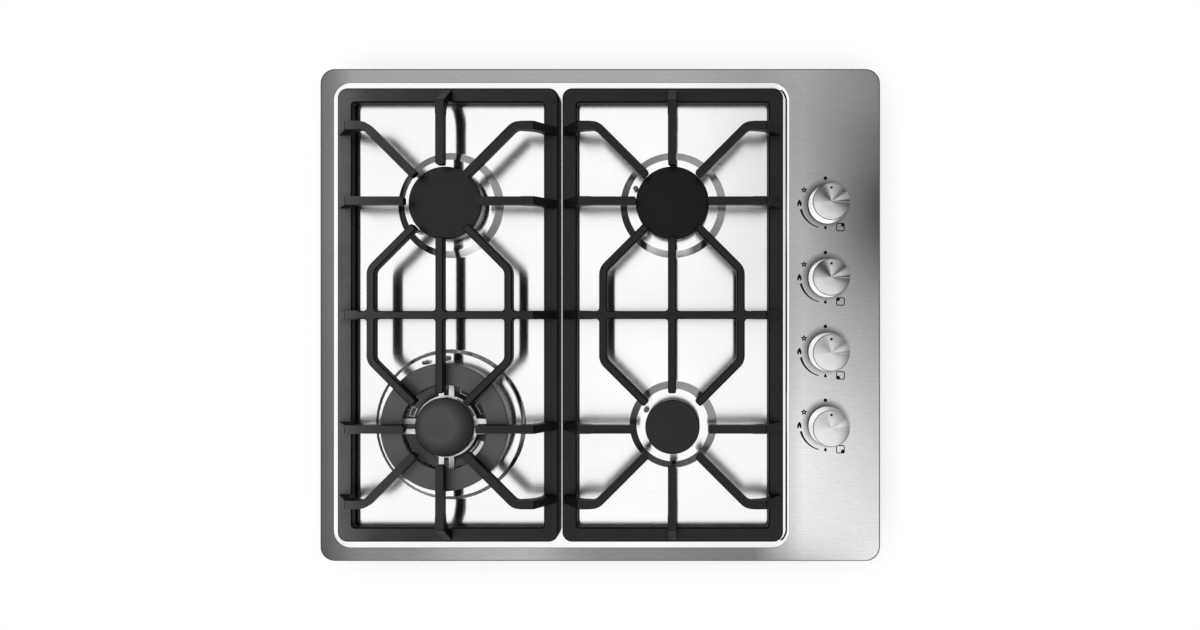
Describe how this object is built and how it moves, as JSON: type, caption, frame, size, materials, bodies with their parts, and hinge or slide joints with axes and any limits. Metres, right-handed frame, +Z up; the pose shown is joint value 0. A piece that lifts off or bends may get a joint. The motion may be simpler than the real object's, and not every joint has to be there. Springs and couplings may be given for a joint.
{
  "type": "gas cooktop",
  "caption": "Built-in gas cooktop: pressed steel panel with burners, cast grates and a column of turning knobs on the right.",
  "frame": {"origin": "middle of the top panel in plan, at the underside of the bottom tray", "axes": "+X to the right, towards the knobs; +Y to the rear; +Z up"},
  "size_m": [0.58, 0.51, 0.08],
  "materials": {
    "panel_steel": "brushed along the width, satin",
    "foam": "closed-cell foam, matte",
    "galvanised_sheet": "galvanised, satin",
    "zinc_plated": "zinc plated",
    "brass": "machined",
    "ceramic": "glazed ceramic",
    "copper_probe": "drawn",
    "black_plastic": "moulded",
    "white_plastic": "moulded",
    "cast_aluminium": "die cast, fine blasted",
    "black_enamel": "matte black enamel",
    "turned_knob": "turned face, circular brushed",
    "grate_iron": "satin black enamel on cast iron",
    "foot_rubber": "moulded rubber"
  },
  "bodies": {
    "cooktop": {"top_panel": "panel_steel", "edge_seal": "foam", "bottom_tray": "galvanised_sheet", "support_posts": "zinc_plated", "tray_screws": "zinc_plated", "clamp_screws": "zinc_plated", "burner_cup_rear_left": "cast_aluminium", "burner_cup_rear_right": "cast_aluminium", "burner_cup_front_left": "cast_aluminium", "burner_cup_front_right": "cast_aluminium", "gas_injectors": "brass", "spark_electrodes": "ceramic", "thermocouples": "copper_probe", "gas_rail": "zinc_plated", "rail_brackets": "galvanised_sheet", "rail_locknut": "brass", "gas_inlet": "brass", "cable_gland": "black_plastic", "gas_tubes": "cast_aluminium", "spark_module": "white_plastic", "ignition_switches": "white_plastic", "valve_body_rear_right": "cast_aluminium", "valve_body_rear_left": "cast_aluminium", "valve_body_front_left": "cast_aluminium", "valve_body_front_right": "cast_aluminium"},
    "valve_plug_rear_right": {"valve_plug_rear_right": "brass", "stem_spring_rear_right": "zinc_plated"},
    "knob_rear_right": {"valve_stem_rear_right": "zinc_plated", "knob_rear_right": "turned_knob"},
    "valve_plug_rear_left": {"valve_plug_rear_left": "brass", "stem_spring_rear_left": "zinc_plated"},
    "knob_rear_left": {"valve_stem_rear_left": "zinc_plated", "knob_rear_left": "turned_knob"},
    "valve_plug_front_left": {"valve_plug_front_left": "brass", "stem_spring_front_left": "zinc_plated"},
    "knob_front_left": {"valve_stem_front_left": "zinc_plated", "knob_front_left": "turned_knob"},
    "valve_plug_front_right": {"valve_plug_front_right": "brass", "stem_spring_front_right": "zinc_plated"},
    "knob_front_right": {"valve_stem_front_right": "zinc_plated", "knob_front_right": "turned_knob"},
    "grate_left": {"grate_left": "grate_iron", "grate_feet_left": "foot_rubber"},
    "grate_right": {"grate_right": "grate_iron", "grate_feet_right": "foot_rubber"},
    "burner_head_rear_left": {"burner_head_rear_left": "cast_aluminium"},
    "burner_cap_rear_left": {"burner_cap_rear_left": "black_enamel"},
    "burner_head_rear_right": {"burner_head_rear_right": "cast_aluminium"},
    "burner_cap_rear_right": {"burner_cap_rear_right": "black_enamel"},
    "burner_head_front_left": {"burner_head_front_left": "cast_aluminium"},
    "burner_cap_front_left": {"burner_cap_front_left": "black_enamel"},
    "burner_head_front_right": {"burner_head_front_right": "cast_aluminium"},
    "burner_cap_front_right": {"burner_cap_front_right": "black_enamel"},
    "burner_ring_cap_front_left": {"burner_ring_cap_front_left": "black_enamel"},
    "clamp_front_left": {"clamp_front_left": "galvanised_sheet"},
    "clamp_front_right": {"clamp_front_right": "galvanised_sheet"},
    "clamp_rear_left": {"clamp_rear_left": "galvanised_sheet"},
    "clamp_rear_right": {"clamp_rear_right": "galvanised_sheet"}
  },
  "joints": [
    {"name": "knob_turn_rear_right", "type": "hinge", "parent": "cooktop", "child": "valve_plug_rear_right", "pos_m": [0.235, 0.114, 0.028], "axis": [0, 0, 1], "range_deg": [0, 180]},
    {"name": "knob_push_rear_right", "type": "slide", "parent": "valve_plug_rear_right", "child": "knob_rear_right", "axis": [0, 0, 1], "range_m": [-0.003, 0], "stiffness_N_per_m": 1200, "springref_m": 0.006, "deforming": ["stem_spring_rear_right"]},
    {"name": "knob_turn_rear_left", "type": "hinge", "parent": "cooktop", "child": "valve_plug_rear_left", "pos_m": [0.235, 0.038, 0.028], "axis": [0, 0, 1], "range_deg": [0, 180]},
    {"name": "knob_push_rear_left", "type": "slide", "parent": "valve_plug_rear_left", "child": "knob_rear_left", "axis": [0, 0, 1], "range_m": [-0.003, 0], "stiffness_N_per_m": 1200, "springref_m": 0.006, "deforming": ["stem_spring_rear_left"]},
    {"name": "knob_turn_front_left", "type": "hinge", "parent": "cooktop", "child": "valve_plug_front_left", "pos_m": [0.235, -0.038, 0.028], "axis": [0, 0, 1], "range_deg": [0, 180]},
    {"name": "knob_push_front_left", "type": "slide", "parent": "valve_plug_front_left", "child": "knob_front_left", "axis": [0, 0, 1], "range_m": [-0.003, 0], "stiffness_N_per_m": 1200, "springref_m": 0.006, "deforming": ["stem_spring_front_left"]},
    {"name": "knob_turn_front_right", "type": "hinge", "parent": "cooktop", "child": "valve_plug_front_right", "pos_m": [0.235, -0.114, 0.028], "axis": [0, 0, 1], "range_deg": [0, 180]},
    {"name": "knob_push_front_right", "type": "slide", "parent": "valve_plug_front_right", "child": "knob_front_right", "axis": [0, 0, 1], "range_m": [-0.003, 0], "stiffness_N_per_m": 1200, "springref_m": 0.006, "deforming": ["stem_spring_front_right"]},
    {"name": "grate_lift_left", "type": "slide", "parent": "cooktop", "child": "grate_left", "axis": [0, 0, 1], "range_m": [0, 0.12]},
    {"name": "grate_lift_right", "type": "slide", "parent": "cooktop", "child": "grate_right", "axis": [0, 0, 1], "range_m": [0, 0.12]},
    {"name": "head_lift_rear_left", "type": "slide", "parent": "cooktop", "child": "burner_head_rear_left", "axis": [0, 0, 1], "range_m": [0, 0.008]},
    {"name": "cap_lift_rear_left", "type": "slide", "parent": "burner_head_rear_left", "child": "burner_cap_rear_left", "axis": [0, 0, 1], "range_m": [0, 0.008]},
    {"name": "head_lift_rear_right", "type": "slide", "parent": "cooktop", "child": "burner_head_rear_right", "axis": [0, 0, 1], "range_m": [0, 0.008]},
    {"name": "cap_lift_rear_right", "type": "slide", "parent": "burner_head_rear_right", "child": "burner_cap_rear_right", "axis": [0, 0, 1], "range_m": [0, 0.008]},
    {"name": "head_lift_front_left", "type": "slide", "parent": "cooktop", "child": "burner_head_front_left", "axis": [0, 0, 1], "range_m": [0, 0.004]},
    {"name": "cap_lift_front_left", "type": "slide", "parent": "burner_head_front_left", "child": "burner_cap_front_left", "axis": [0, 0, 1], "range_m": [0, 0.06]},
    {"name": "head_lift_front_right", "type": "slide", "parent": "cooktop", "child": "burner_head_front_right", "axis": [0, 0, 1], "range_m": [0, 0.06]},
    {"name": "cap_lift_front_right", "type": "slide", "parent": "burner_head_front_right", "child": "burner_cap_front_right", "axis": [0, 0, 1], "range_m": [0, 0.06]},
    {"name": "ring_cap_lift_front_left", "type": "slide", "parent": "burner_head_front_left", "child": "burner_ring_cap_front_left", "axis": [0, 0, 1], "range_m": [0, 0.004]},
    {"name": "clamp_swing_front_left", "type": "hinge", "parent": "cooktop", "child": "clamp_front_left", "pos_m": [-0.13, -0.23, 0.009], "axis": [0, 0, 1], "range_deg": [0, 90]},
    {"name": "clamp_swing_front_right", "type": "hinge", "parent": "cooktop", "child": "clamp_front_right", "pos_m": [0.13, -0.23, 0.009], "axis": [0, 0, 1], "range_deg": [0, 90]},
    {"name": "clamp_swing_rear_left", "type": "hinge", "parent": "cooktop", "child": "clamp_rear_left", "pos_m": [-0.13, 0.23, 0.009], "axis": [0, 0, -1], "range_deg": [0, 90]},
    {"name": "clamp_swing_rear_right", "type": "hinge", "parent": "cooktop", "child": "clamp_rear_right", "pos_m": [0.13, 0.23, 0.009], "axis": [0, 0, -1], "range_deg": [0, 90]}
  ]
}
